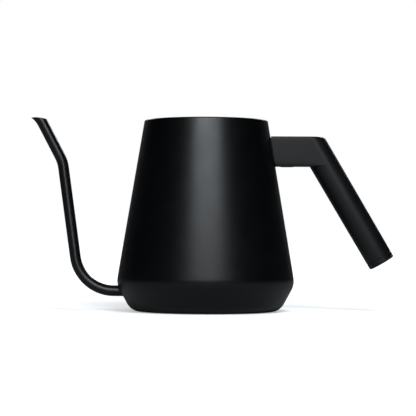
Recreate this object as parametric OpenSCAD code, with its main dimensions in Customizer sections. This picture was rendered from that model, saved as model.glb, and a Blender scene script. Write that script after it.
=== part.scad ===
// Gooseneck pour-over kettle: conical steel body, tube spout, slanted grip and a drop-in lid.
// Millimetres. The origin is on the body's axis in the plane that the kettle stands on, +Z is up,
// the handle is on the +X side and the spout on the -X side.

/* [Body] */
// Height from the table to the top of the rolled rim
body_h = 141.1; // [130:0.1:155]
// Outer radius of the cone at the rim, before rolling
rim_r = 45.6; // [43:0.1:50]
// Radius of the corner between cone and bowl, before rounding
crease_r = 65.9; // [63:0.1:70]
// Height of the corner between cone and bowl
crease_z = 20.3; // [19:0.1:24]
// Radius of the corner between bowl and table, before rounding
foot_r = 54.8; // [52.5:0.1:56]
// Rounding of the corner between cone and bowl
crease_round = 14; // [10:0.1:16]
// Rounding of the corner between bowl and table
foot_round = 11; // [5:0.5:12]
// Thickness of the body's steel
wall = 0.8; // [0.6:0.1:1]
// Outer radius of the rolled rim
rim_roll = 2; // [1.6:0.1:2.4]

/* [Base] */
// Radius of the recess under the pan
recess_r = 46.5; // [42:0.5:47]
// Thickness of the aluminium heat spreader
spreader_t = 3; // [2:0.5:4]
// Thickness of the magnetic steel cap
base_cap_t = 0.6; // [0.5:0.1:1]
// Gap between the cap and the recess
base_gap = 0.2; // [0.1:0.1:0.4]

/* [Spout] */
// Outer diameter of the spout's tube
spout_d = 8; // [7.4:0.1:10]
// Wall of the spout's tube
spout_wall = 0.8; // [0.6:0.1:1]
// Height of the spout's root above the table
root_z = 15; // [12:0.5:15.5]
// Straight length from the bowl to the lower bend
root_l = 4.9; // [3:0.1:8]
// Radius of the lower bend, to the tube's centre
lower_bend_r = 28.8; // [22:0.1:34]
// Lean of the riser away from upright, in degrees
riser_lean = 7.85; // [4:0.05:10]
// Height of the upper bend's corner below the mouth
tip_drop = 31.3; // [26:0.1:36]
// Radius of the upper bend, to the tube's centre
upper_bend_r = 26; // [16:0.5:36]
// Lean of the tip away from upright, in degrees
tip_lean = 27.6; // [22:0.1:32]
// Height of the mouth's back edge above the rim
mouth_rise = 0.6; // [0:0.1:4]
// Slope of the mouth, up towards the lip, in degrees
mouth_slope = 11; // [6:0.5:14]
// Length of the flared lip
lip_l = 7; // [5:0.1:9]
// Half of the angle by which the lip flares, in degrees
lip_flare = 4.7; // [3:0.1:7]
// Width and height of the weld around the spout's root
spout_bead = 0.5; // [0.4:0.1:0.8]

/* [Handle] */
// Distance from the rim down to the arm's top face
arm_drop = 11.8; // [9:0.1:16]
// Depth of the arm from top to bottom
arm_depth = 21.8; // [21:0.1:25]
// Width of the arm from side to side
arm_w = 20; // [19:0.1:20.4]
// Rounding of the arm's long edges
arm_round = 1.2; // [0.8:0.1:2]
// Distance from the body to the grip's axis, at the arm's top face
arm_reach = 28.2; // [27:0.1:36]
// Lean of the grip away from upright, in degrees
grip_lean = 30.45; // [25:0.05:35]
// Length of the grip from the arm's top face to its end, with the cap
grip_l = 107.9; // [100:0.1:120]
// Diameter of the grip at the arm
grip_top_d = 20.7; // [20.6:0.1:23]
// Diameter of the grip at its end
grip_end_d = 20; // [18.5:0.1:20.5]
// Rounding of the corner between the arm's top face and the grip
grip_corner = 3.7; // [2:0.1:5]
// Diameter of the hollow in the grip
grip_bore_d = 13; // [10:0.5:14]
// Depth of the hollow in the grip, from the end cap
grip_bore_l = 68; // [50:1:72]
// Length of the end cap that shows
end_cap_l = 4.5; // [3:0.1:7]
// Rounding of the end cap's edge
end_cap_round = 1.1; // [0.5:0.1:2]
// Length of the end cap's spigot
spigot_l = 9; // [6:0.5:14]
// Gap around the end cap's spigot
spigot_gap = 0.1; // [0.05:0.05:0.3]

/* [Handle fixing] */
// Thickness of the gasket between body and arm
gasket_t = 1; // [0.6:0.1:1.4]
// How far the gasket's edge lies inside the arm's outline
gasket_margin = 1; // [0.5:0.1:1.5]
// Width of the bracket's plate
bracket_w = 14; // [13:0.5:15]
// Height of the bracket's plate
bracket_h = 15; // [12:0.5:16]
// Thickness of the bracket's plate
bracket_t = 1.5; // [1.5:0.1:2]
// Width of the bracket's tongue
tongue_w = 12; // [10:0.5:13]
// Thickness of the bracket's tongue
tongue_t = 4; // [3.5:0.1:5]
// Length of the tongue past the screw's axis
tongue_past = 8; // [7:0.5:9]
// Gap around the bracket inside the arm
bracket_gap = 0.2; // [0.1:0.05:0.4]
// Distance from the body to the screw, at the tongue
screw_inset = 10.5; // [9.5:0.1:13]
// Diameter of the hole for screw head and plug
counterbore_d = 10; // [9.6:0.1:11]
// Depth of that hole
counterbore_l = 5.5; // [5:0.1:6]
// Distance from the screw's tip down from the tongue's top face
screw_short = 0.5; // [0.2:0.1:1]
// Diameter of the plug's domed head
plug_d = 10.6; // [10.5:0.1:12]
// Height of the plug's dome
plug_dome = 0.55; // [0.4:0.05:1]
// Length of the plug's stem
plug_stem = 1.5; // [1:0.1:1.9]
// Gap around the plug's stem
plug_gap = 0.1; // [0.05:0.05:0.2]

/* [Screws] */
// Diameter of both screws' thread
screw_d = 4; // [3:0.5:4]
// Diameter of the screws' heads
screw_head_d = 7.6; // [7:0.1:8.4]
// Height of the screws' heads
screw_head_h = 2.4; // [2:0.1:2.6]
// Width across flats of the hexagon socket
socket_af = 2.5; // [2:0.5:3]
// Outer diameter of the washers
washer_d = 9; // [8.5:0.1:9.4]
// Thickness of the washers
washer_t = 0.8; // [0.5:0.1:1]
// Gap between a screw and the hole that it passes through, each side
screw_gap = 0.2; // [0.1:0.05:0.3]
// Gap between a screw and its thread
thread_gap = 0.02; // [0.01:0.01:0.05]

/* [Lid seat] */
// Distance from the rim down to the ledge
seat_depth = 3.2; // [3:0.1:5]
// How far the lid laps over the ledge
seat_lap = 2.6; // [2:0.1:4]
// Thickness of the collar's steel
collar_t = 0.8; // [0.6:0.1:1]
// Depth of the collar's skirt
collar_l = 8; // [6:0.5:12]

/* [Lid] */
// Gap between the lid's edge and the rolled rim
lid_gap = 0.5; // [0.3:0.1:0.8]
// Thickness of the lid's steel
lid_t = 0.8; // [0.6:0.1:1]
// Radius of the finger dish at its top
dish_r = 29; // [27:0.5:30]
// Depth of the finger dish
dish_depth = 12; // [10:0.5:14]
// How much smaller the dish is at its floor
dish_draft = 2; // [1:0.1:3]
// Diameter of the steam vents
vent_d = 3; // [2:0.1:4]
// Number of steam vents
vent_count = 3; // [1:1:6]
// Distance from the lid's centre to the steam vents
vent_r = 20; // [16:0.5:22]
// Thickness of the skirt's steel
skirt_t = 0.6; // [0.5:0.1:1]
// Depth of the skirt
skirt_l = 12; // [9:0.5:14]
// Width of the skirt's welded flange
skirt_flange = 4.5; // [3:0.1:5]
// Thickness of the seal ring
seal_t = 1.2; // [1:0.1:1.5]
// Height of the seal ring
seal_l = 3.5; // [2.5:0.1:5]
// Gap between the seal ring and the collar
seal_gap = 0.3; // [0.3:0.05:0.6]

/* [Knob] */
// Diameter of the knob's head
knob_d = 22; // [18:0.5:24]
// Height of the knob
knob_h = 13; // [12:0.1:14]
// Thickness of the knob's head
knob_head_t = 6; // [4:0.1:7]
// Diameter of the knob's waist
knob_waist_d = 13; // [10:0.5:15]
// Rounding of the knob's head
knob_round = 2; // [1:0.1:2]
// Diameter of the threaded insert
insert_d = 6; // [5.5:0.1:7]
// Length of the threaded insert
insert_l = 7; // [5:0.5:8]
// Free depth past the insert
insert_relief = 1.5; // [1:0.1:2.5]

/* [Hidden] */
$fn = 128;

coat_black = "#1b1c1e";
steel = "#b9bcbf";
aluminium = "#c9cbcd";
brass = "#b8923f";
plastic_black = "#252628";
rubber_black = "#131314";

up = [0, 1];
down = [0, -1];
// Step that keeps one surface from only grazing the next
sink = 0.1;

// Corner of two lines moved inwards by r: the centre of the arc that rounds that corner.
function round_centre(corner, out_a, out_b, r) = corner - r * (out_a + out_b) / (1 + out_a * out_b);

// Body outline, in the plane of radius and height
cone_lean = atan((crease_r - rim_r) / (body_h - crease_z));
tuck_lean = atan((crease_r - foot_r) / crease_z);
cone_out = [cos(cone_lean), sin(cone_lean)];
tuck_out = [cos(tuck_lean), -sin(tuck_lean)];
crease_c = round_centre([crease_r, crease_z], cone_out, tuck_out, crease_round);
foot_c = round_centre([foot_r, 0], tuck_out, down, foot_round);
rim_c = round_centre([rim_r, body_h], cone_out, up, rim_roll);
seam_z = crease_c[1] + crease_round * cone_out[1];
function cone_r(z, inset = 0) = rim_r + (body_h - z) * tan(cone_lean) - inset / cos(cone_lean);
function tuck_r(z) = foot_r + z * tan(tuck_lean);

// Base
base_stack = spreader_t + base_cap_t;
base_cap_r = recess_r - base_gap;

// Spout centre line, in the plane of the spout: [-X, Z] and leans are measured from upright
spout_r = spout_d / 2;
spout_bore_r = spout_r - spout_wall;
lower_turn = 90 - riser_lean;
upper_turn = tip_lean - riser_lean;
bend_start_x = tuck_r(root_z) + root_l;
lower_c = [-bend_start_x, root_z + lower_bend_r];
mouth_z = body_h + mouth_rise;
upper_corner_z = mouth_z - tip_drop;
lower_corner_x = -bend_start_x - lower_bend_r * tan(lower_turn / 2);
upper_corner_x = lower_corner_x - (upper_corner_z - root_z) * tan(riser_lean);
riser_dir = [-sin(riser_lean), cos(riser_lean)];
tip_dir = [-sin(tip_lean), cos(tip_lean)];
riser_side = [cos(riser_lean), sin(riser_lean)];
tip_side = [cos(tip_lean), sin(tip_lean)];
upper_trim = upper_bend_r * tan(upper_turn / 2);
upper_corner = [upper_corner_x, upper_corner_z];
riser_end = upper_corner - upper_trim * riser_dir;
riser_start = lower_c - lower_bend_r * riser_side;
riser_l = norm(riser_end - riser_start);
upper_c = riser_end - upper_bend_r * riser_side;
tip_start = upper_corner + upper_trim * tip_dir;
mouth_back_l = (mouth_z - upper_corner_z - spout_r * tip_side[1]) / tip_dir[1];
mouth_back = upper_corner + spout_r * tip_side + mouth_back_l * tip_dir;
tip_l = mouth_back_l + 2 * spout_d - upper_trim;
lip_start = mouth_back_l + spout_d * tan(tip_lean + mouth_slope) - lip_l;
band_l = 0.4;
band_h = 0.02;

// Handle
arm_top = body_h - arm_drop;
arm_bottom = arm_top - arm_depth;
arm_mid = arm_top - arm_depth / 2;
grip_x = cone_r(arm_top) + arm_reach;
grip_top_r = grip_top_d / 2;
grip_taper = (grip_top_d - grip_end_d) / 2 / grip_l;
grip_over = grip_top_d;
grip_joint_l = grip_l - end_cap_l;
grip_side = [cos(grip_lean), sin(grip_lean)];
outer_corner_x = grip_x + grip_top_r / cos(grip_lean);
grip_corner_c = round_centre([outer_corner_x - sink, arm_top], up, grip_side, grip_corner);
tongue_z = arm_mid;
screw_x = cone_r(tongue_z) + screw_inset;
tongue_end = screw_x + tongue_past;
screw_seat_z = arm_bottom + counterbore_l;
handle_head_z = screw_seat_z - washer_t;
handle_screw_l = tongue_z + tongue_t / 2 - screw_short - handle_head_z;

// Lid
mouth_r = rim_c[0] - rim_roll;
lid_r = mouth_r - lid_gap;
seat_r = lid_r - seat_lap;
seat_z = body_h - seat_depth;
lid_top_z = seat_z + lid_t;
dish_floor = lid_top_z - dish_depth;
dish_under = dish_floor - lid_t;
seal_r = seat_r - seal_gap;
skirt_r = seal_r - seal_t;
knob_r = knob_d / 2;
insert_r = insert_d / 2;
knob_head_z = dish_under - washer_t;
knob_screw_l = washer_t + lid_t + insert_l;

// ---- Shared shapes ----

// Half section of the solid body out to its outer face, moved inwards by inset.
module body_section(inset = 0) {
    polygon([
        [0, inset],
        [foot_c[0], inset],
        foot_c + (foot_round - inset) * tuck_out,
        crease_c + (crease_round - inset) * tuck_out,
        crease_c + (crease_round - inset) * cone_out,
        rim_c + (rim_roll - inset) * cone_out,
        rim_c + (rim_roll - inset) * up,
        [0, body_h - inset]
    ]);
    translate(foot_c) circle(foot_round - inset);
    translate(crease_c) circle(crease_round - inset);
    translate(rim_c) circle(rim_roll - inset);
}

// The solid body, grown outwards by grow.
module body_core(grow = 0) rotate_extrude() body_section(-grow);

// Flat ring around the Z axis, standing on z.
module ring(outer_r, inner_r, z, h) translate([0, 0, z]) rotate_extrude() {
    translate([inner_r, 0]) square([outer_r - inner_r, h]);
}

// Round bar along X from x0 to x1 at height z.
module bar_x(x0, x1, z, r) translate([x0, 0, z]) rotate([0, 90, 0]) cylinder(r = r, h = x1 - x0);

// Quarter-turn frame: what is drawn in the XY plane stands in the XZ plane.
module in_side_plane() rotate([90, 0, 0]) children();

// Piece of a torus in the XZ plane, turned from start by turn degrees.
module bend(centre, bend_r, start, turn, r) translate([centre[0], 0, centre[1]]) in_side_plane() {
    rotate(start) rotate_extrude(angle = turn) translate([bend_r, 0]) circle(r);
}

// Stands children on a point of the side plane, leaning to -X.
module leaning(place, lean) translate([place[0], 0, place[1]]) rotate([0, -lean, 0]) children();

// Hair-thin band over a joint of the spout, where a straight meets a bend.
module joint_band(place, lean, r) leaning(place, lean) {
    translate([0, 0, -band_l / 2]) cylinder(r = r + band_h, h = band_l);
}

// Solid of radius r along the spout's centre line.
module spout_rod(r) {
    bar_x(-bend_start_x, -crease_c[0], root_z, r);
    joint_band([-bend_start_x, root_z], 90, r);
    bend(lower_c, lower_bend_r, -90 - lower_turn, lower_turn, r);
    joint_band(riser_start, riser_lean, r);
    leaning(riser_start, riser_lean) cylinder(r = r, h = riser_l);
    joint_band(riser_end, riser_lean, r);
    bend(upper_c, upper_bend_r, riser_lean, upper_turn, r);
    joint_band(tip_start, tip_lean, r);
    leaning(tip_start, tip_lean) cylinder(r = r, h = tip_l);
}

// Cone that leans forwards by its own half angle, so it flares at the front only.
module lip_cone(r) leaning(upper_corner + lip_start * tip_dir, tip_lean) rotate([0, -lip_flare, 0]) {
    cylinder(r1 = r - sink, r2 = r - sink + 2 * lip_l * tan(lip_flare), h = 2 * lip_l);
}

// Everything above the mouth's sloping plane.
module over_mouth() leaning(mouth_back, -mouth_slope) {
    translate([-4 * spout_d, -spout_d, 0]) cube([6 * spout_d, 2 * spout_d, 4 * spout_d]);
}

// Stands children on the grip's axis at the arm's top face, with +Z down the grip.
module down_grip() translate([grip_x, 0, arm_top]) rotate([0, 180 - grip_lean, 0]) children();

// Frustum of the grip between two distances from the arm's top face.
module grip_bar(from, to) down_grip() translate([0, 0, from]) cylinder(
    r1 = grip_top_r - grip_taper * from,
    r2 = grip_top_r - grip_taper * to,
    h = to - from
);

// Block around the tongue's level, from the axis of the body out to x.
module tongue_block(x, w, h) translate([0, -w / 2, tongue_z - h / 2]) cube([x, w, h]);

// Pan-head screw: the head hangs below z, the thread stands above it.
module screw(l) {
    difference() {
        translate([0, 0, -screw_head_h]) cylinder(d = screw_head_d, h = screw_head_h);
        translate([0, 0, -screw_head_h]) cylinder(d = socket_af / cos(30), h = screw_head_h / 2, $fn = 6);
    }
    cylinder(d = screw_d, h = l);
}

module washer(z) ring(washer_d / 2, screw_d / 2 + screw_gap, z, washer_t);

// ---- Body ----

// The room inside, up to the line where the rolled rim leaves the cone.
module room_section() intersection() {
    body_section(wall);
    translate(rim_c) rotate(cone_lean) translate([-2 * body_h, -2 * body_h]) square([4 * body_h, 2 * body_h]);
}

// Wall and rolled rim: the open mouth leaves the inner half of the roll standing.
module body_wall() color(coat_black) rotate_extrude() difference() {
    body_section();
    room_section();
    translate(rim_c) circle(rim_roll - wall);
    difference() {
        translate([0, seam_z]) square([rim_c[0], body_h]);
        translate(rim_c) circle(rim_roll);
    }
    square([2 * crease_r, seam_z]);
}

module body_pan() color(coat_black) difference() {
    rotate_extrude() difference() {
        intersection() {
            body_section();
            square([crease_r, seam_z]);
        }
        square([recess_r, base_stack]);
        difference() {
            body_section(wall);
            square([recess_r + wall, base_stack + wall]);
        }
    }
    bar_x(-bend_start_x, -crease_c[0], root_z, spout_bore_r);
}

module lid_seat_collar() color(steel) rotate_extrude() {
    polygon([
        [seat_r, seat_z - collar_t],
        [cone_r(seat_z - collar_t, wall), seat_z - collar_t],
        [cone_r(seat_z, wall), seat_z],
        [seat_r, seat_z]
    ]);
    translate([seat_r, seat_z - collar_l]) square([collar_t, collar_l]);
}

module base_spreader() color(aluminium) translate([0, 0, base_cap_t]) {
    cylinder(r = base_cap_r - base_cap_t, h = spreader_t);
}

module base_cap() color(steel) difference() {
    cylinder(r = base_cap_r, h = base_stack);
    translate([0, 0, base_cap_t]) cylinder(r = base_cap_r - base_cap_t, h = base_stack);
}

// ---- Spout ----

module spout_tube() color(coat_black) difference() {
    union() {
        spout_rod(spout_r);
        lip_cone(spout_r);
    }
    spout_rod(spout_bore_r);
    lip_cone(spout_bore_r);
    over_mouth();
    body_core();
}

module spout_weld_bead() color(coat_black) difference() {
    intersection() {
        bar_x(-bend_start_x - spout_d, -crease_c[0], root_z, spout_r + spout_bead);
        body_core(spout_bead);
    }
    bar_x(-bend_start_x - spout_d, -crease_c[0], root_z, spout_r);
    body_core();
}

// ---- Handle ----

module handle_bracket() color(steel) difference() {
    union() {
        intersection() {
            tongue_block(screw_x, bracket_w, bracket_h);
            body_core(bracket_t);
        }
        tongue_block(tongue_end, tongue_w, tongue_t);
    }
    body_core();
    translate([screw_x, 0, tongue_z - tongue_t]) cylinder(d = screw_d + 2 * thread_gap, h = 2 * tongue_t);
}

module handle_gasket() color(rubber_black) difference() {
    intersection() {
        translate([0, gasket_margin - arm_w / 2, arm_bottom + gasket_margin]) {
            cube([screw_x, arm_w - 2 * gasket_margin, arm_depth - 2 * gasket_margin]);
        }
        body_core(gasket_t);
    }
    body_core();
    tongue_block(screw_x, bracket_w + 2 * bracket_gap, bracket_h + 2 * bracket_gap);
}

// Bar with rounded long edges from the body's axis to the plane of the grip's axis.
module arm_bar() intersection() {
    rotate([90, 0, 90]) linear_extrude(grip_x + grip_l) translate([0, arm_mid]) {
        square([arm_w - 2 * arm_round, arm_depth], center = true);
        square([arm_w, arm_depth - 2 * arm_round], center = true);
        for (side = [-1, 1], edge = [-1, 1]) {
            translate([side * (arm_w / 2 - arm_round), edge * (arm_depth / 2 - arm_round)]) circle(arm_round);
        }
    }
    translate([0, arm_w, 0]) in_side_plane() linear_extrude(2 * arm_w) polygon([
        [0, arm_top + arm_round],
        [grip_x - arm_round * tan(grip_lean), arm_top + arm_round],
        [grip_x + (arm_depth + arm_round) * tan(grip_lean), arm_bottom - arm_round],
        [0, arm_bottom - arm_round]
    ]);
}

// What the top face and its rounded outer corner take off the grip.
module over_grip() translate([0, grip_top_d, 0]) in_side_plane() linear_extrude(2 * grip_top_d) {
    translate([0, arm_top]) square([grip_x + 2 * grip_over, 2 * grip_over]);
    difference() {
        polygon([
            [grip_corner_c[0], arm_top + grip_over],
            [grip_corner_c[0], arm_top],
            grip_corner_c,
            grip_corner_c + grip_corner * grip_side,
            grip_corner_c + grip_over * grip_side,
            [grip_x + 2 * grip_over, arm_top + grip_over]
        ]);
        translate(grip_corner_c) circle(grip_corner);
    }
}

module handle_grip() color(plastic_black) difference() {
    union() {
        difference() {
            grip_bar(-grip_over, grip_joint_l);
            over_grip();
        }
        arm_bar();
    }
    body_core(gasket_t);
    intersection() {
        tongue_block(screw_x, bracket_w + 2 * bracket_gap, bracket_h + 2 * bracket_gap);
        body_core(bracket_t + bracket_gap);
    }
    tongue_block(tongue_end + bracket_gap, tongue_w + 2 * bracket_gap, tongue_t + 2 * bracket_gap);
    translate([screw_x, 0, arm_bottom - arm_round]) {
        cylinder(d = counterbore_d, h = counterbore_l + arm_round);
    }
    translate([screw_x, 0, arm_bottom]) cylinder(d = screw_d + 2 * screw_gap, h = arm_depth / 2);
    down_grip() translate([0, 0, grip_l - grip_bore_l]) cylinder(d = grip_bore_d, h = grip_bore_l);
}

module handle_end_cap() color(plastic_black) {
    grip_bar(grip_joint_l, grip_l - end_cap_round);
    down_grip() rotate_extrude() {
        square_r = grip_end_d / 2 - end_cap_round;
        translate([0, grip_l - 2 * end_cap_round]) square([square_r, 2 * end_cap_round]);
        intersection() {
            translate([square_r, grip_l - end_cap_round]) circle(end_cap_round);
            translate([square_r, grip_l - end_cap_round]) square(end_cap_round);
        }
    }
    down_grip() translate([0, 0, grip_joint_l - spigot_l]) {
        cylinder(r = grip_bore_d / 2 - spigot_gap, h = spigot_l + end_cap_round);
    }
}

module handle_washer() color(steel) translate([screw_x, 0, 0]) washer(handle_head_z);

module handle_screw() color(steel) translate([screw_x, 0, handle_head_z]) screw(handle_screw_l);

module handle_screw_plug() color(rubber_black) translate([screw_x, 0, arm_bottom]) {
    cylinder(r = counterbore_d / 2 - plug_gap, h = plug_stem);
    intersection() {
        dome_r = (plug_d * plug_d / 4 + plug_dome * plug_dome) / (2 * plug_dome);
        translate([0, 0, dome_r - plug_dome]) sphere(dome_r);
        translate([0, 0, -plug_dome]) cylinder(d = plug_d + plug_dome, h = plug_dome);
    }
}

// ---- Lid ----

module lid_cover() color(coat_black) difference() {
    rotate_extrude() polygon([
        [screw_d / 2 + screw_gap, dish_floor],
        [dish_r - dish_draft, dish_floor],
        [dish_r, lid_top_z],
        [lid_r, lid_top_z],
        [lid_r, seat_z],
        [dish_r + lid_t, seat_z],
        [dish_r + lid_t - dish_draft, dish_under],
        [screw_d / 2 + screw_gap, dish_under]
    ]);
    for (i = [1 : vent_count]) rotate(i * 360 / vent_count) {
        translate([vent_r, 0, dish_under - lid_t]) cylinder(d = vent_d, h = 3 * lid_t);
    }
}

module lid_skirt() color(steel) {
    ring(skirt_r, skirt_r - skirt_flange, seat_z - skirt_t, skirt_t);
    ring(skirt_r, skirt_r - skirt_t, seat_z - skirt_l, skirt_l);
}

module lid_seal_ring() color(rubber_black) ring(seal_r, skirt_r, seat_z - seal_l, seal_l);

module lid_knob() color(plastic_black) translate([0, 0, dish_floor]) difference() {
    rotate_extrude() {
        square([knob_waist_d / 2, knob_h - knob_head_t / 2]);
        translate([0, knob_h - knob_head_t]) square([knob_r - knob_round, knob_head_t]);
        translate([0, knob_h - knob_head_t + knob_round]) square([knob_r, knob_head_t - 2 * knob_round]);
        for (edge = [knob_round, knob_head_t - knob_round]) {
            translate([knob_r - knob_round, knob_h - edge]) circle(knob_round);
        }
    }
    translate([0, 0, -knob_round]) cylinder(r = insert_r, h = knob_round + insert_l + insert_relief);
}

module lid_knob_insert() color(brass) ring(insert_r, screw_d / 2 + thread_gap, dish_floor, insert_l);

module lid_knob_washer() color(steel) washer(knob_head_z);

module lid_knob_screw() color(steel) translate([0, 0, knob_head_z]) screw(knob_screw_l);

body_wall();
body_pan();
lid_seat_collar();
base_spreader();
base_cap();
spout_tube();
spout_weld_bead();
handle_bracket();
handle_gasket();
handle_grip();
handle_end_cap();
handle_screw();
handle_washer();
handle_screw_plug();
lid_cover();
lid_skirt();
lid_seal_ring();
lid_knob();
lid_knob_insert();
lid_knob_screw();
lid_knob_washer();
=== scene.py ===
"""Gooseneck pour-over kettle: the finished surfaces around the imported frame.

Metres throughout. The body's axis is Z, the kettle stands on z = 0, the handle is on the +X side
and the spout on the -X side.
"""

import math

import bmesh
import bpy
import numpy as np
from bpy.props import FloatProperty, FloatVectorProperty, IntProperty, PointerProperty
from mathutils import Matrix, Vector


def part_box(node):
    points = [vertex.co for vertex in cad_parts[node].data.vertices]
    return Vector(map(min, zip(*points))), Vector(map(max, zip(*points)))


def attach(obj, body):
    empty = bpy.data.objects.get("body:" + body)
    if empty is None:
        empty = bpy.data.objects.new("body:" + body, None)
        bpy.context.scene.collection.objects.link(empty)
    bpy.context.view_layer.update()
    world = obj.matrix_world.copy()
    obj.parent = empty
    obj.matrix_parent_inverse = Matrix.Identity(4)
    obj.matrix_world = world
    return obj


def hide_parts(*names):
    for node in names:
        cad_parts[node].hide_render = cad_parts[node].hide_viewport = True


bl_info = {
    "name": "Pour-over kettle",
    "version": (1, 0, 0),
    "blender": (4, 5, 0),
    "location": "3D Viewport > Sidebar > Kettle",
    "description": "Dresses the packed gooseneck kettle in its finished surfaces and sets its studio",
    "category": "Add Mesh",
}

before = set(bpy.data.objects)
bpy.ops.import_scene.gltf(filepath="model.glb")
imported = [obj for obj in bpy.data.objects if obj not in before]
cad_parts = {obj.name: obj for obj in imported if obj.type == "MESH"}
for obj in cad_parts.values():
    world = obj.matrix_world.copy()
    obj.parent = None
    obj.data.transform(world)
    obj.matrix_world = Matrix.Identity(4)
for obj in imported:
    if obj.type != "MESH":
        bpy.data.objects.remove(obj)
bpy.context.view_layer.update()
BOX = {name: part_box(name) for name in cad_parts}

MM = 0.001
# Steps in a rounded corner, round a turned piece and round a drilled hole
CORNER_STEPS, TURNS, HOLE_TURNS = 14, 192, 48
# Edges that turn by less are shaded smooth, and points that are closer are merged
SMOOTH_BELOW = math.radians(38)
MERGE = 0.0002 * MM
AXIS_Z = (np.zeros(3), np.eye(3))
# A direction that no hole runs along
ASIDE = (0.3, 1.0, 0.2)


# ---- Small tools ----


def linear(code):
    """Linear red, green and blue of an sRGB hex colour."""
    channels = np.array([int(code[at:at + 2], 16) for at in (1, 3, 5)]) / 255
    curved = ((channels + 0.055) / 1.055) ** 2.4
    return tuple(np.where(channels <= 0.04045, channels / 12.92, curved).tolist())


def length(name, millimetres, description):
    """A size that a user can change, given in millimetres and kept in metres."""
    return FloatProperty(
        name=name, description=description, default=millimetres * MM, min=0, unit="LENGTH", precision=5
    )


def angle(name, degrees, description):
    """An angle that a user can change."""
    return FloatProperty(
        name=name, description=description, default=math.radians(degrees), subtype="ANGLE"
    )


def colour(name, code, description):
    """A colour that a user can change."""
    return FloatVectorProperty(
        name=name, description=description, default=linear(code), subtype="COLOR", min=0, max=1
    )


def share(name, default, description):
    """A number from 0 to 1 that a user can change."""
    return FloatProperty(name=name, description=description, default=default, min=0, max=1)


def unit(v):
    """Vectors divided by their own length."""
    return v / np.linalg.norm(v, axis=-1, keepdims=True)


def smooth(t):
    """0 below 0, 1 above 1, and 3 t^2 - 2 t^3 between them."""
    t = np.clip(t, 0, 1)
    return t * t * (3 - 2 * t)


def between(a, b, t):
    """a at 0, b at 1 and a straight blend between them."""
    return a * (1 - t) + b * t


def circle(count):
    """Angles evenly round a full turn."""
    return np.linspace(0, 2 * math.pi, count, endpoint=False)


def steps(count):
    """Shares of a whole, from the first of equal steps to 1."""
    return np.linspace(0, 1, count + 1)[1:]


def conic(a, b, c, weight, s):
    """Arc from a to c under the corner b: the blend of a, b and c with the shares
    (1 - s)^2, 2 w s (1 - s) and s^2, divided by their sum, where w is the weight."""
    first, middle, last = (1 - s) ** 2, 2 * weight * s * (1 - s), s ** 2
    return (first * a + middle * b + last * c) / (first + middle + last)


def rounded(corners, radii):
    """Path through the corners, with each inner corner a circular arc of its own radius: a conic
    that starts and ends radius x tan(turn / 2) from the corner, with weight cos(turn / 2)."""
    points = np.array(corners, float)
    before, after = unit(points[1:-1] - points[:-2]), unit(points[2:] - points[1:-1])
    half = np.arccos(np.clip((before * after).sum(-1), -1, 1))[:, None] / 2
    reach = np.array(radii, float)[:, None] * np.tan(half)
    starts, ends = points[1:-1] - reach * before, points[1:-1] + reach * after
    s = np.linspace(0, 1, CORNER_STEPS + 1)[None, :, None]
    arcs = conic(starts[:, None], points[1:-1, None], ends[:, None], np.cos(half)[:, None], s)
    return np.vstack([points[:1], arcs.reshape(-1, points.shape[1]), points[-1:]])


def spaced(path, gap):
    """The path with its long stretches cut into equal steps no longer than gap."""
    counts = np.maximum(1, np.ceil(np.linalg.norm(np.diff(path, axis=0), axis=1) / gap).astype(int))
    stretch = np.repeat(np.arange(len(counts)), counts)
    step = np.arange(counts.sum()) - np.repeat(np.cumsum(counts) - counts, counts)
    along = (step / counts[stretch])[:, None]
    return np.vstack([between(path[stretch], path[stretch + 1], along), path[-1:]])


def section(corners, radii, gap, loop=False):
    """Path through rounded corners in steps no longer than gap. A loop starts in the middle of
    its last side and closes there."""
    if loop:
        middle = (np.array(corners[0]) + corners[-1]) / 2
        corners = [middle, *corners, middle]
    path = spaced(rounded(corners, radii), gap)
    return path[:-1] if loop else path


def inset(corner, out_a, out_b, distance):
    """Corner of two lines after both move inwards by distance; out_a and out_b point outwards."""
    out_a, out_b = np.array(out_a), np.array(out_b)
    return np.array(corner) - distance * (out_a + out_b) / (1 + out_a @ out_b)


# ---- Meshes ----


def ring_faces(rows, columns, closed_rows=False):
    """Four-sided faces between neighbouring rings of points, which are numbered ring by ring."""
    index = np.arange(rows * columns).reshape(rows, columns)
    if closed_rows:
        index = np.vstack([index, index[:1]])
    after = np.roll(index, -1, axis=1)
    return np.stack([index[:-1], after[:-1], after[1:], index[1:]], axis=-1).reshape(-1, 4).tolist()


def surface(name, grid, finishes, row_finish=None, closed_rows=False):
    """Object from a grid of points (row, column, xyz). Each row is a closed ring; the rows close
    too if closed_rows is true. Rows that shrink to a point or a line are merged there. Doubles
    are merged, faces turned outwards and round stretches smooth."""
    mesh = bpy.data.meshes.new(name)
    mesh.from_pydata(grid.reshape(-1, 3).tolist(), [], ring_faces(*grid.shape[:2], closed_rows))
    if row_finish is not None:
        mesh.polygons.foreach_set("material_index", np.repeat(row_finish, grid.shape[1]).astype(np.int32))
    work = bmesh.new()
    work.from_mesh(mesh)
    bmesh.ops.remove_doubles(work, verts=work.verts, dist=MERGE)
    bmesh.ops.dissolve_degenerate(work, edges=work.edges, dist=MERGE)
    bmesh.ops.recalc_face_normals(work, faces=work.faces)
    work.to_mesh(mesh)
    work.free()
    mesh.shade_smooth()
    mesh.set_sharp_from_angle(angle=SMOOTH_BELOW)
    for finish in finishes:
        mesh.materials.append(bpy.data.materials[finish])
    made = bpy.data.objects.new(name, mesh)
    bpy.context.scene.collection.objects.link(made)
    return made


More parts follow.
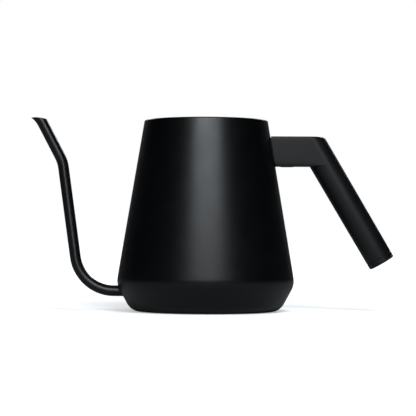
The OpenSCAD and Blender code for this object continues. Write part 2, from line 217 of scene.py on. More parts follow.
def turned(name, profile, finishes, row_finish=None, closed=False, turns=TURNS, place=AXIS_Z):
    """Profile of (radius, height) turned round an axis: (r cos a, r sin a, h) in the axes of
    place, which is an origin and the rows x, y and z."""
    a = circle(turns)
    r, h = profile[:, :1], profile[:, 1:]
    local = np.stack([r * np.cos(a), r * np.sin(a), h + 0 * a], axis=-1)
    origin, axes = place
    return surface(name, origin + local @ axes, finishes, row_finish, closed)


def drill(piece, start, along, radius, distance):
    """Cuts a round hole from start, in the direction along, through the piece."""
    along = unit(np.array(along, float))
    across = unit(np.cross(along, ASIDE))
    axes = np.array([across, np.cross(along, across), along])
    rod = np.array([[0, 0], [radius, 0], [radius, distance], [0, distance]])
    cutter = turned("cutter", rod, [], turns=HOLE_TURNS, place=(np.array(start, float), axes))
    cut = piece.modifiers.new("hole", "BOOLEAN")
    cut.operation, cut.solver, cut.object = "DIFFERENCE", "EXACT", cutter
    graph = bpy.context.evaluated_depsgraph_get()
    mesh = bpy.data.meshes.new_from_object(piece.evaluated_get(graph))
    piece.modifiers.clear()
    piece.data = mesh
    mesh.set_sharp_from_angle(angle=SMOOTH_BELOW)
    bpy.data.objects.remove(cutter)


def hand_over(piece, body, slot, *nodes):
    """Puts a piece on its body, in place of the CAD nodes that it dresses. The slot is not used."""
    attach(piece, body)
    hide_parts(*nodes)


def dress(finish, *nodes):
    """Gives a finish to CAD nodes that stay as they are."""
    for piece in (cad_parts[node] for node in nodes):
        if not piece.material_slots:
            piece.data.materials.append(None)
        for holder in piece.material_slots:
            holder.material = bpy.data.materials[finish]


# ---- Sizes and colours ----


class KettleBody(bpy.types.PropertyGroup):
    """Sizes of the pressed steel body."""

    rim_radius: length("Rim radius", 45.6, "Outer radius of the cone at the rim")
    crease_radius: length("Crease radius", 65.9, "Radius of the corner between cone and bowl")
    crease_height: length("Crease height", 20.3, "Height of the corner between cone and bowl")
    foot_radius: length("Foot radius", 54.8, "Radius of the corner between bowl and table")
    crease_round: length("Crease rounding", 14, "Rounding between cone and bowl")
    foot_round: length("Foot rounding", 11, "Rounding between bowl and table")
    wall: length("Wall", 0.8, "Thickness of the steel")
    rim_roll: length("Rim roll", 2, "Outer radius of the rolled rim")
    rim_edge: length("Rim edge", 1, "Rounding between cone and rim")
    recess_radius: length("Recess radius", 46.5, "Radius of the recess under the pan")


class KettleSpout(bpy.types.PropertyGroup):
    """Sizes of the gooseneck spout."""

    diameter: length("Diameter", 8, "Outer diameter of the tube")
    wall: length("Wall", 0.8, "Wall of the tube")
    root_height: length("Root height", 15, "Height of the root above the table")
    root_length: length("Root length", 4.9, "Straight length before the lower bend")
    lower_bend: length("Lower bend", 28.8, "Radius of the lower bend")
    riser_lean: angle("Riser lean", 7.85, "Lean of the riser away from upright")
    tip_drop: length("Tip drop", 31.3, "Height of the upper bend's corner below the mouth")
    upper_bend: length("Upper bend", 26, "Radius of the upper bend")
    tip_lean: angle("Tip lean", 27.6, "Lean of the tip away from upright")
    mouth_rise: length("Mouth rise", 0.6, "Height of the mouth's back edge above the rim")
    mouth_slope: angle("Mouth slope", 14, "Slope of the mouth, up towards the lip")
    lip_length: length("Lip length", 6, "Length over which the lip flares")
    lip_flare: length("Lip flare", 1.88, "How far the lip stands forward of the tube")
    lip_drop: length("Lip drop", 0.9, "How far the lip's tip falls below the mouth's slope")
    weld: length("Weld", 0.6, "Leg of the weld round the root")


class KettleHandle(bpy.types.PropertyGroup):
    """Sizes of the arm and its slanted grip."""

    arm_depth: length("Arm depth", 21.8, "Depth of the arm from top to bottom")
    arm_width: length("Arm width", 20, "Width of the arm from side to side")
    arm_round: length("Arm rounding", 1.2, "Rounding of the arm's long edges")
    arm_reach: length("Arm reach", 28.2, "Distance from the body to the grip's axis")
    grip_lean: angle("Grip lean", 30.45, "Lean of the grip away from upright")
    grip_length: length("Grip length", 107.9, "Length of the grip with its cap")
    grip_top: length("Grip at the arm", 20.7, "Diameter of the grip at the arm")
    grip_end: length("Grip at the end", 20, "Diameter of the grip at its end")
    corner_round: length("Corner rounding", 3.1, "Rounding between arm top and grip")
    inner_round: length("Inner rounding", 0.8, "Rounding between arm underside and grip")
    cap_length: length("Cap length", 4.5, "Length of the end cap that shows")
    cap_round: length("Cap rounding", 1.1, "Rounding of the end cap's edge")
    cap_ring: length("Cap ring", 1.7, "Distance from the end face to the fine ring")
    seam: length("Seam", 0.25, "Width of the seam and of the fine ring")
    bore: length("Bore", 13, "Diameter of the hollow in the grip")
    bore_length: length("Bore length", 68, "Depth of the hollow, from the cap's face")
    counterbore: length("Counterbore", 10, "Diameter of the hole for the screw's head")
    gasket: length("Gasket", 1, "Thickness of the pad between body and arm")
    gasket_margin: length("Gasket margin", 1, "How far the pad lies inside the arm")


class KettleLid(bpy.types.PropertyGroup):
    """Sizes of the lid and its knob."""

    dish_radius: length("Dish radius", 29, "Radius of the finger dish at its top")
    dish_draft: length("Dish draft", 2, "How much smaller the dish is at its floor")
    steel: length("Steel", 0.8, "Thickness of the lid's steel")
    screw_hole: length("Screw hole", 2.2, "Radius of the hole for the knob's screw")
    vents: IntProperty(name="Vents", description="Number of steam vents", default=3, min=1, max=6)
    vent_diameter: length("Vent diameter", 3, "Diameter of a steam vent")
    vent_radius: length("Vent circle", 20, "Distance from the centre to the vents")
    flange: length("Flange", 4.5, "Width of the skirt's welded flange")
    skirt_steel: length("Skirt steel", 0.6, "Thickness of the skirt")
    seal: length("Seal", 1.2, "Thickness of the seal ring")
    knob_head: length("Knob head", 6, "Thickness of the knob's head")
    knob_waist: length("Knob waist", 13, "Diameter of the knob's waist")
    insert_radius: length("Insert radius", 3, "Radius of the knob's threaded insert")
    insert_room: length("Insert room", 8.5, "Depth of the hole for the insert")


class KettleFinish(bpy.types.PropertyGroup):
    """Colours and gloss of the finishes."""

    coat: colour("Powder coat", "#030405", "Colour of the coated steel")
    coat_rough: share("Powder coat roughness", 0.365, "Roughness of the coated body and lid")
    tube_rough: share("Tube coat roughness", 0.33, "Roughness of the coated spout")
    plastic: colour("Plastic", "#0d0d0e", "Colour of the handle and the knob")
    plastic_rough: share("Plastic roughness", 0.42, "Roughness of the handle and the knob")
    steel: colour("Steel", "#c3c2be", "Colour of bare stainless steel")
    rubber: colour("Rubber", "#121213", "Colour of plug, gasket and seal")


# ---- Derived shapes ----


class BodyShape:
    """The body's outline, worked out from its driving sizes as (radius, height)."""

    def __init__(self, size):
        self.height = BOX["body_wall"][1].z
        lean = math.atan2(size.crease_radius - size.rim_radius, self.height - size.crease_height)
        tuck = math.atan2(size.crease_radius - size.foot_radius, size.crease_height)
        self.lean, self.size = lean, size
        self.cone_out = np.array([math.cos(lean), math.sin(lean)])
        self.tuck_out = np.array([math.cos(tuck), -math.sin(tuck)])
        self.rim = np.array([size.rim_radius, self.height])
        self.crease = np.array([size.crease_radius, size.crease_height])
        self.foot = np.array([size.foot_radius, 0])
        self.rim_centre = inset(self.rim, self.cone_out, [0, 1], size.rim_roll)
        self.outline = rounded(
            [[0, 0], self.foot, self.crease, self.rim, [0, self.height]],
            [size.foot_round, size.crease_round, size.rim_edge],
        )

    def radius(self, z):
        """Outer radius at a height between the foot and the rim."""
        return np.interp(z, self.outline[1:-1, 1], self.outline[1:-1, 0])

    def inner(self, corner, out_a, out_b):
        """A corner of the outline on the wall's inner face."""
        return inset(corner, out_a, out_b, self.size.wall)


class GripShape:
    """The grip's axis and its oval section. Its points are centre(s) + r(s) cos a along the
    outward side and b(s) sin a along Y, with s the distance down the axis from the arm's top."""

    def __init__(self, size, body):
        self.top = BOX["handle_grip"][1].z
        self.bottom = self.top - size.arm_depth
        cone_at_top = body.rim[0] + (body.height - self.top) * math.tan(body.lean)
        self.x = cone_at_top + size.arm_reach
        self.half = size.arm_width / 2
        sin, cos, self.tan = (f(size.grip_lean) for f in (math.sin, math.cos, math.tan))
        self.down, self.out = np.array([sin, 0, -cos]), np.array([cos, 0, sin])
        self.origin = np.array([self.x, 0, self.top])
        self.joint = size.grip_length - size.cap_length
        self.size = size

    def depth_radius(self, s):
        """Half of the grip's depth at s, measured in the side plane."""
        return between(self.size.grip_top, self.size.grip_end, s / self.size.grip_length) / 2

    def width_radius(self, s):
        """Half of the grip's width at s: the arm's half width at the top, round at the end."""
        return between(self.half, self.size.grip_end / 2, np.clip(s / self.size.grip_length, 0, 1))

    def point(self, a, s, grow=0):
        """Point of the grip's surface at angle a round the axis and distance s down it."""
        a, s = np.broadcast_arrays(a, s)
        across = ((self.depth_radius(s) + grow) * np.cos(a))[..., None] * self.out
        wide = ((self.width_radius(s) + grow) * np.sin(a))[..., None] * np.array([0, 1, 0])
        return self.origin + s[..., None] * self.down + across + wide

    def round_point(self, a, s, radius):
        """Point of a circle of the radius round the axis, at s."""
        turn = np.stack([np.cos(a), np.sin(a)], axis=-1) * radius
        return self.origin + s * self.down + turn @ np.array([self.out, [0, 1, 0]])

    def corner(self, a, z, radius, side):
        """Rounding of that radius between the level plane z and the grip's surface below it, as
        a function of s from 0 on the plane to 1 on the surface. Side is 1 where the plane is
        the arm's top, inside the section, and -1 where it is the underside, outside it. In the
        plane of the section's normal n the surface leans by atan(tan(lean) n_x), so the arc is
        a conic that turns by a quarter turn less that lean, or plus it outside."""
        foot = self.point(a, self.level(a, z))
        deep = self.depth_radius(0) / self.out[0]
        normal = unit(np.stack([np.cos(a) * self.half, np.sin(a) * deep], axis=-1))
        lean = np.arctan(self.tan * normal[:, 0])
        turn = math.pi / 2 - side * lean
        reach = (radius * np.tan(turn / 2))[:, None]
        start = reach * [-side, 0]
        stop = reach * np.stack([np.sin(lean), np.cos(lean)], axis=-1)
        weight = np.cos(turn / 2)[:, None]

        def at(s):
            offset, drop = conic(start, 0 * start, stop, weight, s).T[:, :, None]
            point = foot.copy()
            point[:, :2] += normal * (offset - normal[:, :1] * self.tan * drop)
            point[:, 0] += self.tan * drop[:, 0]
            point[:, 2] -= drop[:, 0]
            return point

        return at

    def level(self, a, z):
        """Distance s at which the surface line at angle a meets the height z."""
        cos, sin = self.out[0], self.out[2]
        s = (self.top - z) / cos
        for _ in range(3):
            s = (self.top - z + self.depth_radius(s) * np.cos(a) * sin) / cos
        return s


# ---- Finishes ----


def add_node(tree, kind, sockets, **settings):
    """Adds a node with its settings. Sockets go by name or by number, and one that is given
    another node's output is linked to it."""
    made = tree.nodes.new(kind)
    for name, value in settings.items():
        setattr(made, name, value)
    for socket, value in sockets.items():
        if isinstance(value, bpy.types.NodeSocket):
            tree.links.new(value, made.inputs[socket])
        else:
            made.inputs[socket].default_value = value
    return made


def new_finish(name, base, rough, **sockets):
    """A material with a Principled shader: its tree and the shader."""
    material = bpy.data.materials.new(name)
    material.use_nodes = True
    shader = material.node_tree.nodes["Principled BSDF"]
    sockets.update({"Base_Color": (*base, 1), "Roughness": rough})
    for socket, value in sockets.items():
        shader.inputs[socket.replace("_", " ")].default_value = value
    return material.node_tree, shader


def grain(tree, size, detail=2.0, stretch=(1, 1, 1)):
    """Noise whose lumps are about size across, stretched by one over the shares in stretch."""
    place = add_node(tree, "ShaderNodeTexCoord", {}).outputs["Object"]
    mapped = add_node(tree, "ShaderNodeMapping", {"Vector": place, "Scale": stretch})
    noise = {"Vector": mapped.outputs["Vector"], "Scale": 1 / size, "Detail": detail}
    return add_node(tree, "ShaderNodeTexNoise", noise).outputs["Fac"]


def lay_on(tree, shader, pattern, depth=None, rough=None, tint=None):
    """What a pattern does to a surface: relief of a real depth, roughness spread over a range by
    the values from 0.3 to 0.7, where noise mostly lies, and colour between two of its shares."""
    if depth:
        bump = add_node(tree, "ShaderNodeBump", {"Height": pattern, "Distance": depth, "Strength": 1.0})
        tree.links.new(bump.outputs["Normal"], shader.inputs["Normal"])
    if rough:
        spread = {"Value": pattern, "From Min": 0.3, "From Max": 0.7}
        spread.update({"To Min": rough[0], "To Max": rough[1]})
        gloss = add_node(tree, "ShaderNodeMapRange", spread)
        tree.links.new(gloss.outputs["Result"], shader.inputs["Roughness"])
    if tint:
        # A mix node's factor is socket 0, its colours are 6 and 7, and the mixed one is output 2.
        base = np.array(shader.inputs["Base Color"].default_value)[:3]
        ends = {6 + end: (*(base * part).tolist(), 1) for end, part in enumerate(tint)}
        mix = add_node(tree, "ShaderNodeMix", {0: pattern, **ends}, data_type="RGBA")
        tree.links.new(mix.outputs[2], shader.inputs["Base Color"])


def powder_coat(name, look, rough):
    """Polyester powder coat, sprayed on steel and baked. It melts into a dense matte skin with a
    fine orange peel, and its gloss drifts a little where the film is thicker. The film lies
    thinner and a touch glossier on the slim tube than on the body."""
    tree, shader = new_finish(name, look.coat, rough)
    lay_on(tree, shader, grain(tree, 0.5 * MM), depth=0.006 * MM)
    lay_on(tree, shader, grain(tree, 14 * MM), rough=(rough - 0.02, rough + 0.02), tint=(0.94, 1.06))


def moulded_plastic(look):
    """Glass-filled polypropylene, moulded in a spark-eroded tool: even, soft sheen over a fine
    grain that hides finger marks."""
    rough = look.plastic_rough
    tree, shader = new_finish("Moulded polypropylene", look.plastic, rough)
    lay_on(tree, shader, grain(tree, 0.35 * MM, detail=3.0), depth=0.01 * MM)
    lay_on(tree, shader, grain(tree, 18 * MM), rough=(rough - 0.03, rough + 0.03), tint=(0.93, 1.07))


def rubber(look):
    """Silicone, moulded: dull and slightly powdery, with a soft broad sheen."""
    tree, shader = new_finish("Moulded silicone", look.rubber, 0.62)
    lay_on(tree, shader, grain(tree, 0.25 * MM), depth=0.006 * MM)
    lay_on(tree, shader, grain(tree, 6 * MM), rough=(0.58, 0.68))


def drawn_steel(look):
    """18/8 stainless steel, deep drawn and brushed on a turning mandrel: fine rings of scratches
    round the axis, drawn 0.5 mm apart, about four times as coarse as real ones, so they show."""
    tree, shader = new_finish("Brushed stainless steel", look.steel, 0.3, Metallic=1.0)
    lines = grain(tree, 0.5 * MM, detail=3.0, stretch=(0.02, 0.02, 1))
    lay_on(tree, shader, lines, depth=0.004 * MM, rough=(0.24, 0.36))
    lay_on(tree, shader, grain(tree, 20 * MM), tint=(0.95, 1))


def turned_steel(look):
    """Magnetic 430 stainless steel, faced on a lathe: concentric feed rings 0.6 mm apart."""
    tree, shader = new_finish("Turned magnetic steel", look.steel, 0.34, Metallic=1.0)
    place = add_node(tree, "ShaderNodeTexCoord", {}).outputs["Object"]
    # A ring pattern repeats every 2 pi / 20 of its scaled distance.
    waves = {"Vector": place, "Scale": 2 * math.pi / 20 / (0.6 * MM), "Distortion": 0.4}
    rings = add_node(tree, "ShaderNodeTexWave", waves, wave_type="RINGS", rings_direction="Z")
    lay_on(tree, shader, rings.outputs["Fac"], depth=0.006 * MM)
    lay_on(tree, shader, grain(tree, 3 * MM, detail=5.0), rough=(0.26, 0.42), tint=(0.86, 1))


def plain_metal(name, code, rough, size):
    """A small turned or stamped metal part, with a fine tool grain of the given size."""
    tree, shader = new_finish(name, linear(code), rough, Metallic=1.0)
    marks = grain(tree, size, detail=3.0)
    lay_on(tree, shader, marks, depth=0.004 * MM, rough=(rough - 0.06, rough + 0.06))


class KETTLE_OT_finishes(bpy.types.Operator):
    """Mix the coat, plastic, rubber and metals"""

    bl_idname = "kettle.finishes"
    bl_label = "Finishes"

    def execute(self, context):
        look = context.scene.kettle_finish
        powder_coat("Powder coat", look, look.coat_rough)
        powder_coat("Powder coat on tube", look, look.tube_rough)
        moulded_plastic(look)
        rubber(look)
        drawn_steel(look)
        turned_steel(look)
        plain_metal("Cast aluminium", "#c4c5c6", 0.42, 0.8 * MM)
        plain_metal("Turned brass", "#b08d46", 0.3, 0.3 * MM)
        plain_metal("Zinc-plated fastener", "#a9abae", 0.32, 0.3 * MM)
        return {"FINISHED"}


# ---- Body ----


class KETTLE_OT_body(bpy.types.Operator):
    """Make the coated body with its rolled rim and brushed inside"""

    bl_idname = "kettle.body"
    bl_label = "Body"

    def execute(self, context):
        size = context.scene.kettle_body
        shape = BodyShape(size)
        centre, out = shape.rim_centre, shape.cone_out
        turn = math.pi / 4 + shape.lean / 2
        past = 0.5 * size.wall * np.array([math.sin(shape.lean), -math.cos(shape.lean)])
        stack = BOX["base_cap"][1].z
        floor = stack + size.wall
        step_radius = size.recess_radius + size.wall
        roll = size.rim_roll - size.wall
        outside = [
            [0, stack], [size.recess_radius, stack], [size.recess_radius, 0],
            shape.foot, shape.crease, shape.rim,
            centre + [-size.rim_roll * math.tan(turn), size.rim_roll],
            centre - size.rim_roll * out + past,
        ]
        inside = [
            centre - roll * out + past,
            centre + [-roll * math.tan(turn), roll],
            shape.inner(shape.rim, out, [0, 1]),
            shape.inner(shape.crease, out, shape.tuck_out),
            shape.inner(shape.foot, shape.tuck_out, [0, -1]),
            [step_radius, size.wall], [step_radius, floor], [0, floor],
        ]
        cut_edge = 0.45 * size.wall
        recess_rounds, floor_rounds = [0.5 * MM, 0.3 * MM], [0.3 * MM, 1 * MM]
        outer_rounds = [size.foot_round, size.crease_round, size.rim_edge, size.rim_roll, cut_edge]
        inner_rounds = [cut_edge, roll, roll, size.crease_round - size.wall, size.foot_round - size.wall]
        radii = recess_rounds + outer_rounds + inner_rounds + floor_rounds
        profile = section(outside + inside, radii, 3.5 * MM)
        steel_row = np.argmin(np.linalg.norm(profile - inside[0], axis=1))
        row_finish = (np.arange(len(profile) - 1) >= steel_row).astype(int)
        shell = turned("body_shell", profile, ["Powder coat", "Brushed stainless steel"], row_finish)
        # The spout's hole, from outside the crease to inside the wall
        spout = context.scene.kettle_spout
        start = [-size.crease_radius - 5 * MM, 0, spout.root_height]
        drill(shell, start, [1, 0, 0], spout.diameter / 2 - spout.wall, 25 * MM)
        hand_over(shell, "kettle", "powder_coat", "body_wall", "body_pan")
        return {"FINISHED"}


class KETTLE_OT_base(bpy.types.Operator):
    """Make the turned steel cap and dress the spreader above it"""

    bl_idname = "kettle.base"
    bl_label = "Base"

    def execute(self, context):
        low, high = BOX["base_cap"]
        wall = high.x - BOX["base_spreader"][1].x
        corners = [
            [0, low.z], [high.x, low.z], [high.x, high.z],
            [high.x - wall, high.z], [high.x - wall, low.z + wall], [0, low.z + wall],
        ]
        path = section(corners, MM * np.array([0.5, 0.15, 0.15, 0.2]), 4 * MM)
        cap = turned("base_disc", path, ["Turned magnetic steel"])
        hand_over(cap, "kettle", "base_steel", "base_cap")
        dress("Cast aluminium", "base_spreader")
        return {"FINISHED"}


class KETTLE_OT_lid_seat(bpy.types.Operator):
    """Make the pressed collar that the lid rests on"""

    bl_idname = "kettle.lid_seat"
    bl_label = "Lid seat"

    # Room between the seal ring and the collar
    SEAL_GAP = 0.3 * MM

    def execute(self, context):
        body = BodyShape(context.scene.kettle_body)
        lid = context.scene.kettle_lid
        low, high = BOX["lid_seat_collar"]
        wall = body.size.wall / math.cos(body.lean)
        under = high.z - lid.steel
        bore = BOX["lid_skirt"][1].x + lid.seal + self.SEAL_GAP
        corners = [
            [body.radius(high.z) - wall, high.z], [bore, high.z], [bore, low.z],
            [bore + lid.steel, low.z], [bore + lid.steel, under], [body.radius(under) - wall, under],
        ]
        path = section(corners, [lid.steel, 0.35 * MM, 0.35 * MM, 0.3 * MM], 2 * MM)
        collar = turned("lid_seat", path, ["Brushed stainless steel"], closed=True)
        hand_over(collar, "kettle", "bare_steel", "lid_seat_collar")
        return {"FINISHED"}


# ---- Spout ----


# Angles of a ring round the tube
AROUND = circle(72)


def spout_line(size, body):
    """Centre line in the side plane as (x, z): root, riser and tip with round bends."""
    tuck = (body.crease[0] - body.foot[0]) / body.crease[1]
    bend_x = body.foot[0] + size.root_height * tuck + size.root_length
    mouth = body.height + size.mouth_rise
    upper_z = mouth - size.tip_drop
    lower_x = -bend_x - size.lower_bend * math.tan((math.pi / 2 - size.riser_lean) / 2)
    upper_x = lower_x - (upper_z - size.root_height) * math.tan(size.riser_lean)
    tip = np.array([-math.sin(size.tip_lean), math.cos(size.tip_lean)])
    side = np.array([math.cos(size.tip_lean), math.sin(size.tip_lean)])
    back = (mouth - upper_z - size.diameter / 2 * side[1]) / tip[1]
    corner = np.array([upper_x, upper_z])
    mouth_back = corner + size.diameter / 2 * side + back * tip
    root = [-body.size.foot_radius, size.root_height]
    corners = [root, [lower_x, size.root_height], corner, corner + (back - size.lip_length) * tip]
    return section(corners, [size.lower_bend, size.upper_bend], 2 * MM), tip, side, mouth_back


def spout_tube(size, body):
    """Circle of radius r carried along the centre line. The root's ring is cut to the wall.
    Over the lip, with t from 0 to 1, the front moves forward by flare x t^4 and each line
    runs on to the mouth: the sloping plane through its back edge, less drop at the front."""
    path, tip, side, mouth_back = spout_line(size, body)
    a = AROUND
    ahead = unit(np.gradient(path, axis=0))
    outward = np.stack([ahead[:, 1], -ahead[:, 0]], axis=-1)
    front = ((1 - np.cos(a)) / 2) ** 1.6
    slope = np.array([math.sin(size.mouth_slope), math.cos(size.mouth_slope)])
    t = steps(15)[:, None]
    sunk = 0.3 * MM

    def skin(radius, flare):
        """Rows of one face of the tube, from root to mouth."""

        def spread(plane):
            """Points of the side plane (x, z), moved sideways onto the circle."""
            y = np.broadcast_to(radius * np.sin(a), plane.shape[:2])
            return np.stack([plane[..., 0], y, plane[..., 1]], axis=-1)

        rows = spread(path[:, None] + radius * np.cos(a)[None, :, None] * outward[:, None])
        rows[0, :, 0] = sunk - np.sqrt(body.radius(rows[0, :, 2]) ** 2 - rows[0, :, 1] ** 2)
        start = path[-1] + radius * np.cos(a)[:, None] * side
        reach = ((mouth_back - start) @ slope) / (tip @ slope) - size.lip_drop * front ** 3
        forward = (flare * t ** 4 * front)[..., None] * side
        return np.vstack([rows, spread(start + (t * reach)[..., None] * tip - forward)])

    # The inner face flares a little less, so the lip's edge is a little thicker than the tube
    outer = skin(size.diameter / 2, size.lip_flare)
    inner = skin(size.diameter / 2 - size.wall, 0.94 * size.lip_flare)
    middle, half = (outer[-1] + inner[-1]) / 2, (outer[-1] - inner[-1]) / 2
    crown = 0.3 * size.wall * np.array([tip[0], 0, tip[1]])
    swing = np.linspace(0, math.pi, 8)[1:-1, None, None]
    edge = middle + half * np.cos(swing) + crown * np.sin(swing)
    grid = np.vstack([outer, edge, inner[::-1]])
    finish = (np.arange(len(grid)) >= len(outer) + len(edge)).astype(int)
    finishes = ["Powder coat on tube", "Brushed stainless steel"]
    spout = surface("spout", grid, finishes, finish, closed_rows=True)
    hand_over(spout, "kettle", "powder_coat", "spout_tube")
    bpy.data.collections["spout_strip"].objects.link(spout)


def spout_weld(size, body):
    """Ring in the corner between wall and tube: a curve from the wall to the tube, hollow
    towards the corner, carried round the tube on the body's surface."""
    across, up = np.cos(AROUND), np.sin(AROUND)
    tube, sink = size.diameter / 2, 0.05 * MM

    def wall_x(radius):
        """The wall's x where a ring of that radius meets it."""
        return -np.sqrt(body.radius(size.root_height + radius * up) ** 2 - (radius * across) ** 2)

    def ring(radius, x):
        return np.stack([x, radius * across, size.root_height + radius * up], axis=-1)

    on_wall = ring(tube + size.weld, wall_x(tube + size.weld) + sink)
    corner = ring(tube, wall_x(tube))
    on_tube = ring(tube - sink, wall_x(tube) - size.weld)
    buried = ring(tube - sink, wall_x(tube) + sink)
    s = np.linspace(0, 1, 9)[:, None, None]
    hollow = conic(on_wall, (corner + (on_wall + on_tube) / 2) / 2, on_tube, 1.0, s)
    grid = np.vstack([hollow, buried[None]])
    weld = surface("spout_weld", grid, ["Powder coat on tube"], closed_rows=True)
    hand_over(weld, "kettle", "powder_coat", "spout_weld_bead")


class KETTLE_OT_spout(bpy.types.Operator):
    """Make the bent tube with its flared lip, and the weld round its root"""

    bl_idname = "kettle.spout"
    bl_label = "Spout"

    def execute(self, context):
        size = context.scene.kettle_spout
        body = BodyShape(context.scene.kettle_body)
        spout_tube(size, body)
        spout_weld(size, body)
        return {"FINISHED"}


# ---- Handle ----


class GripRings(GripShape):
    """Closed rings from the middle line of the arm's top to the bottom of the grip's hollow.
    Round a ring come one side of the arm, the grip's outer half, the other side and the wall
    end. Above the underside the arm's sides are flat, y = half width; below it the same columns
    are the grip's inner half, and the flat underside joins the two."""

    # Columns along a side, round the outer half and across the wall end
    SIDE, ARC, END = 40, 56, 13
    # Half of the turn, in radians, that the wall end's columns take up on the grip
    END_TURN = 0.35

    def __init__(self, size, body):
        super().__init__(size, body)
        self.body = body
        self.along = np.linspace(0, 1, self.SIDE, endpoint=False)
        self.across = np.linspace(-1, 1, self.END + 1)[1:-1]
        self.outer_a = np.linspace(math.pi / 2, -math.pi / 2, self.ARC + 1)
        side_a = math.pi / 2 + (1 - self.along) * (math.pi / 2 - self.END_TURN)
        self.inner_a = (side_a, -side_a[::-1], math.pi - self.END_TURN * self.across)
        self.edge = np.array([[-1.0, 0], [0, 0], [0, 1]]) * size.arm_round

    def wall_x(self, y, z):
        """X of the arm's wall end, on the pad that lies on the body."""
        pad = self.size.gasket / math.cos(self.body.lean)
        return np.sqrt((self.body.radius(z) + pad) ** 2 - y ** 2)

    def arm(self, y, z):
        """The arm's columns: both sides at y and z, and the wall end between them."""
        y, z = np.broadcast_to(y, self.along.shape), np.broadcast_to(z, self.along.shape)
        axis_x = self.x + (self.top - z) * self.tan
        first = np.stack([between(self.wall_x(y, z), axis_x, self.along), y, z], axis=-1)
        y_end = self.across * y[0]
        end = np.stack([self.wall_x(y_end, z[0]), y_end, 0 * y_end + z[0]], axis=-1)
        return first, first[::-1] * [1, -1, 1], end

    def ring(self, columns, outer):
        """Whole ring from the arm's columns and the grip's outer half."""
        return np.vstack([columns[0], outer, columns[1], columns[2]])

    def outer(self, z):
        """The grip's outer half at the height z."""
        return self.point(self.outer_a, self.level(self.outer_a, z))

    def top_rows(self):
        """Top face, from its middle line to its rounding, and the rounding. Its last row's outer
        half ends at the height that comes with it."""
        size = self.size
        round_more = (size.corner_round - size.arm_round) * np.cos(self.outer_a) ** 2
        corner = self.corner(self.outer_a, self.top, size.arm_round + round_more, 1)
        flat = self.ring(self.arm(self.half - size.arm_round, self.top), corner(0.0))
        core = flat * [1, 0, 1]
        core[:, 0] = np.clip(core[:, 0], self.wall_x(0, self.top) + self.half, self.x)
        rows = [between(core, flat, v) for v in np.linspace(0, 1, 7)[:-1]]
        for s in np.linspace(0, 1, 11):
            inward, drop = conic(*self.edge, math.sqrt(0.5), s)
            rows.append(self.ring(self.arm(self.half + inward, self.top - drop), corner(s)))
        return rows, corner(1.0)[:, 2]

    def side_rows(self, z_from, z_to):
        """Flat sides, and the outer half from the height z_from to z_to."""
        z_top = self.top - self.size.arm_round
        rows = []
        for v in steps(8):
            side = self.arm(self.half, between(z_top, z_to, v))
            rows.append(self.ring(side, self.outer(between(z_from, z_to, v))))
        return rows

    def under_rows(self, z_from, z_to):
        """Lower edge, flat underside and hollow inner corner, which fade out beside the grip, and
        the outer half from the height z_from to z_to."""
        size = self.size
        fade_length = 5 * MM
        lower_round = size.arm_round * smooth((1 - self.along) * size.arm_reach / fade_length)
        rounds = [size.inner_round * np.cos(a) ** 2 for a in self.inner_a]
        hollow = [self.corner(a, self.bottom, r, -1) for a, r in zip(self.inner_a, rounds)]
        parts = []
        for s in np.linspace(0, 1, 8):
            inward, rise = conic(*self.edge[::-1], math.sqrt(0.5), s) / size.arm_round
            parts.append(self.arm(self.half + lower_round * inward, self.bottom + lower_round * rise))
        under = parts[-1]
        parts += [[between(u, h(0.0), v) for u, h in zip(under, hollow)] for v in steps(8)]
        parts += [[h(s) for h in hollow] for s in steps(6)]
        shares = steps(len(parts))
        return [self.ring(part, self.outer(between(z_from, z_to, v))) for v, part in zip(shares, parts)]

    def grip_rows(self, z):
        """Grip below the heights z, its seam edge and the hollow inside it."""
        size = self.size
        a = np.concatenate([self.inner_a[0], self.outer_a, *self.inner_a[1:]])
        start, stop = self.level(a, z), self.joint - size.seam
        rows = [self.point(a, between(start, stop, v)) for v in steps(24)]
        rows.append(self.point(a, self.joint, -size.seam))
        bore, bore_end = size.bore / 2, size.grip_length - size.bore_length
        for radius, s in [(bore, self.joint), (bore, bore_end), (0, bore_end)]:
            rows.append(self.round_point(a, s, radius))
        return rows

    def all_rows(self):
        """All rings, from the top down."""
        z_side = self.bottom + self.size.arm_round
        top, z_top = self.top_rows()
        under = self.under_rows(z_side, self.bottom - self.size.inner_round)
        return np.stack(top + self.side_rows(z_top, z_side) + under + self.grip_rows(under[-1][:, 2]))


def grip_moulding(shape):
    """Arm and grip, with the hole for the head of the fixing screw."""
    grip = surface("handle_moulding", shape.all_rows(), ["Moulded polypropylene"])
    low, high = BOX["handle_screw_plug"]
    start = [(low.x + high.x) / 2, 0, low.z - 1 * MM]
    depth = shape.bottom - start[2] + 5.5 * MM
    drill(grip, start, [0, 0, 1], shape.size.counterbore / 2, depth)
    hand_over(grip, "kettle", "grip_plastic", "handle_grip")


def grip_cap(size, shape):
    """Cap turned round the grip's axis: spigot, seam, fine ring and rounded edge."""
    axes = np.array([shape.out, [0, 1, 0], shape.down])
    joint, end, seam = shape.joint, size.grip_length, size.seam
    ring, radius, spigot = end - size.cap_ring, size.grip_end / 2, size.bore / 2 - 0.1 * MM
    inside = joint - 9 * MM
    corners = [
        [0, inside], [spigot, inside], [spigot, joint], [radius - seam, joint],
        [radius, joint + seam], [radius, ring - seam], [radius - 0.6 * seam, ring],
        [radius, ring + seam], [radius, end], [0, end],
    ]
    radii = MM * np.array([0.5, 0.1, 0.05, 0.1, 0.1, 0.08, 0.1, size.cap_round / MM])
    place = (shape.origin, axes)
    path = section(corners, radii, 2 * MM)
    cap = turned("grip_end_cap", path, ["Moulded polypropylene"], turns=128, place=place)
    hand_over(cap, "kettle", "grip_plastic", "handle_end_cap")


